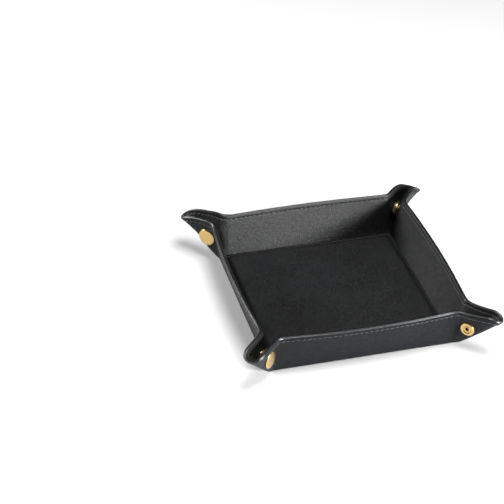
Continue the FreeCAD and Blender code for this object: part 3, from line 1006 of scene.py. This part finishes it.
def lathe(name, profile, m, centre, material, seg=96, closed=True):
    """Solid of revolution about the flat normal at a flat point, placed by m.
    An open profile starts and ends on the axis."""
    pts = chaikin(profile, closed)
    verts, rings = [], []
    for r, z in pts:
        if r < 1e-4:
            rings.append([len(verts)])
            verts.append((centre[0], centre[1], z))
        else:
            rings.append(list(range(len(verts), len(verts) + seg)))
            for s in range(seg):
                f = 2 * math.pi * s / seg
                verts.append((centre[0] + r * math.cos(f), centre[1] + r * math.sin(f), z))
    faces = []
    n = len(rings)
    for i in range(n if closed else n - 1):
        a, b = rings[i], rings[(i + 1) % n]
        for s in range(seg):
            t = (s + 1) % seg
            if len(a) == 1:
                faces.append((a[0], b[s], b[t]))
            elif len(b) == 1:
                faces.append((a[s], b[0], a[t]))
            else:
                faces.append((a[s], b[s], b[t], a[t]))
    v = put(m, verts) / 1000.0
    me = bpy.data.meshes.new(name)
    me.from_pydata([tuple(x) for x in v], [], faces)
    me.polygons.foreach_set("use_smooth", [True] * len(faces))
    me.materials.append(material)
    import bmesh
    bm = bmesh.new()
    bm.from_mesh(me)
    bmesh.ops.recalc_face_normals(bm, faces=bm.faces)
    bm.to_mesh(me)
    bm.free()
    ob = bpy.data.objects.new(name, me)
    bpy.context.scene.collection.objects.link(ob)
    return ob


CAP_PROFILE = [(0.0, -1.10), (2.2, -1.09), (4.2, -1.02), (5.3, -0.90), (5.85, -0.66), (6.1, -0.30),
               (6.08, -0.02), (5.6, 0.0), (1.5, 0.0), (1.5, 2.85), (1.9, 3.05), (0.9, 3.05), (0.9, 0.4),
               (0.0, 0.4)]
POST_PROFILE = [(1.1, 3.9), (1.1, 0.1), (1.2, -0.30), (1.55, -0.56), (2.0, -0.58), (2.35, -0.36),
                (2.65, -0.34), (3.0, -0.62), (3.5, -0.80), (4.1, -0.78), (4.65, -0.52), (4.95, -0.2),
                (4.98, -0.01), (4.6, 0.0), (1.7, 0.0), (1.7, 3.9)]
STUD_PROFILE = [(1.72, 2.4), (4.5, 2.4), (4.8, 2.6), (4.6, 2.98), (3.2, 3.02), (2.5, 3.02), (2.0, 3.4),
                (2.0, 3.7), (2.2, 4.1), (2.2, 4.5), (1.7, 5.08), (0.6, 5.1), (0.6, 4.6), (1.72, 4.4)]
SOCKET_PROFILE = [(1.52, 2.4), (5.4, 2.4), (5.7, 2.7), (5.7, 4.5), (5.35, 4.95), (4.9, 5.18), (4.3, 5.1),
                  (3.9, 4.85), (3.4, 4.9), (2.85, 5.18), (2.55, 5.0), (2.5, 4.46), (3.18, 4.46),
                  (3.18, 3.84), (2.5, 3.84), (2.5, 2.82), (1.52, 2.82)]

PART_MATS = {}
for k in range(4):
    c = CORNERS[k]
    q = quarter(k)
    post, cap = q @ P_POST, q @ P_CAP
    cp, cc = (-A - SU, A + SV), (-A - SV, A + SU)
    ob = lathe("snap_eyelet_%s" % c, POST_PROFILE, post, cp, mat_brass)
    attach(ob, "ear_post_" + c)
    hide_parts("snap_post_" + c)
    ob = lathe("snap_stud_ring_%s" % c, STUD_PROFILE, post, cp, mat_brass_in)
    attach(ob, "ear_post_" + c)
    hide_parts("snap_stud_" + c)
    ob = lathe("snap_dome_%s" % c, CAP_PROFILE, cap, cc, mat_brass, closed=False)
    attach(ob, "ear_cap_" + c)
    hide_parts("snap_cap_" + c)
    ob = lathe("snap_ring_%s" % c, SOCKET_PROFILE, cap, cc, mat_brass_in)
    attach(ob, "ear_cap_" + c)
    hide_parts("snap_socket_" + c)

for name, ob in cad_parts.items():
    mat = mat_spring if name.startswith("snap_spring") else mat_board if name == "base_board" else \
        mat_foam if name == "base_pad" else None
    if mat:
        ob.data.materials.clear()
        ob.data.materials.append(mat)

# ------------------------------------------------------------------- stage
bpy.ops.mesh.primitive_plane_add(size=6.0, location=(0, 0, -0.0002))
floor = bpy.context.object
floor.name = "floor"
m, nt, b = nodes_of("floor_paint")
b.inputs["Base Color"].default_value = (0.93, 0.93, 0.93, 1)
b.inputs["Roughness"].default_value = 0.9
b.inputs["Specular IOR Level"].default_value = 0.1
floor.data.materials.append(m)

wd = bpy.data.worlds.new("studio")
bpy.context.scene.world = wd
wd.use_nodes = True
bg = wd.node_tree.nodes["Background"]
bg.inputs["Color"].default_value = (1.0, 1.0, 1.0, 1)
bg.inputs["Strength"].default_value = 0.06


def lamp(name, loc, aim, size, power, colour=(1, 1, 1)):
    data = bpy.data.lights.new(name, "AREA")
    data.shape = "RECTANGLE"
    data.size, data.size_y = size
    data.energy = power
    data.color = colour
    ob = bpy.data.objects.new(name, data)
    ob.location = loc
    ob.rotation_mode = "QUATERNION"
    ob.rotation_quaternion = (Vector(aim) - Vector(loc)).to_track_quat("-Z", "Y")
    bpy.context.scene.collection.objects.link(ob)
    return ob


lamp("low_front_right", (0.58, -0.70, 0.23), (0, 0.04, 0.02), (0.28, 0.14), 17.0)
lamp("overhead", (0.10, -0.22, 1.15), (0, 0, 0), (0.5, 0.5), 11.0)
lamp("back_left", (-0.80, 0.42, 0.36), (0, 0, 0.02), (0.4, 0.24), 8.0)
bpy.context.scene.view_settings.view_transform = "Standard"

# ------------------------------------------------------------------ camera
# Centre of projection and frame of the fitted view.
AZ, EL, ROLL = math.radians(-20.4), math.radians(37.08), math.radians(4.23)
DIST, FOCAL = 1.09903, 1632.8
U0, V0 = 334.02, 299.66
back = np.array([math.sin(AZ) * math.cos(EL), -math.cos(AZ) * math.cos(EL), math.sin(EL)])
right = np.array([math.cos(AZ), math.sin(AZ), 0.0])
up = np.cross(back, right)
r2 = math.cos(ROLL) * right + math.sin(ROLL) * up
u2 = -math.sin(ROLL) * right + math.cos(ROLL) * up
# turn the camera so that its axis goes through the middle of the frame
fwd = r2 * ((252 - U0) / FOCAL) - u2 * ((252 - V0) / FOCAL) - back
fwd /= np.linalg.norm(fwd)
old = Vector(-back)
turn_to = old.rotation_difference(Vector(fwd))
base_rot = Matrix([list(r2), list(u2), list(back)]).transposed()
cam_rot = (turn_to.to_matrix() @ base_rot).to_4x4()
cam_data = bpy.data.cameras.new("camera")
cam = bpy.data.objects.new("camera", cam_data)
cam.matrix_world = Matrix.Translation(Vector(back * DIST)) @ cam_rot
cam_data.sensor_width = 36.0
cam_data.lens = FOCAL * 0.9975 / 504.0 * 36.0
cam_data.clip_start, cam_data.clip_end = 0.05, 20.0
bpy.context.scene.collection.objects.link(cam)
bpy.context.scene.camera = cam
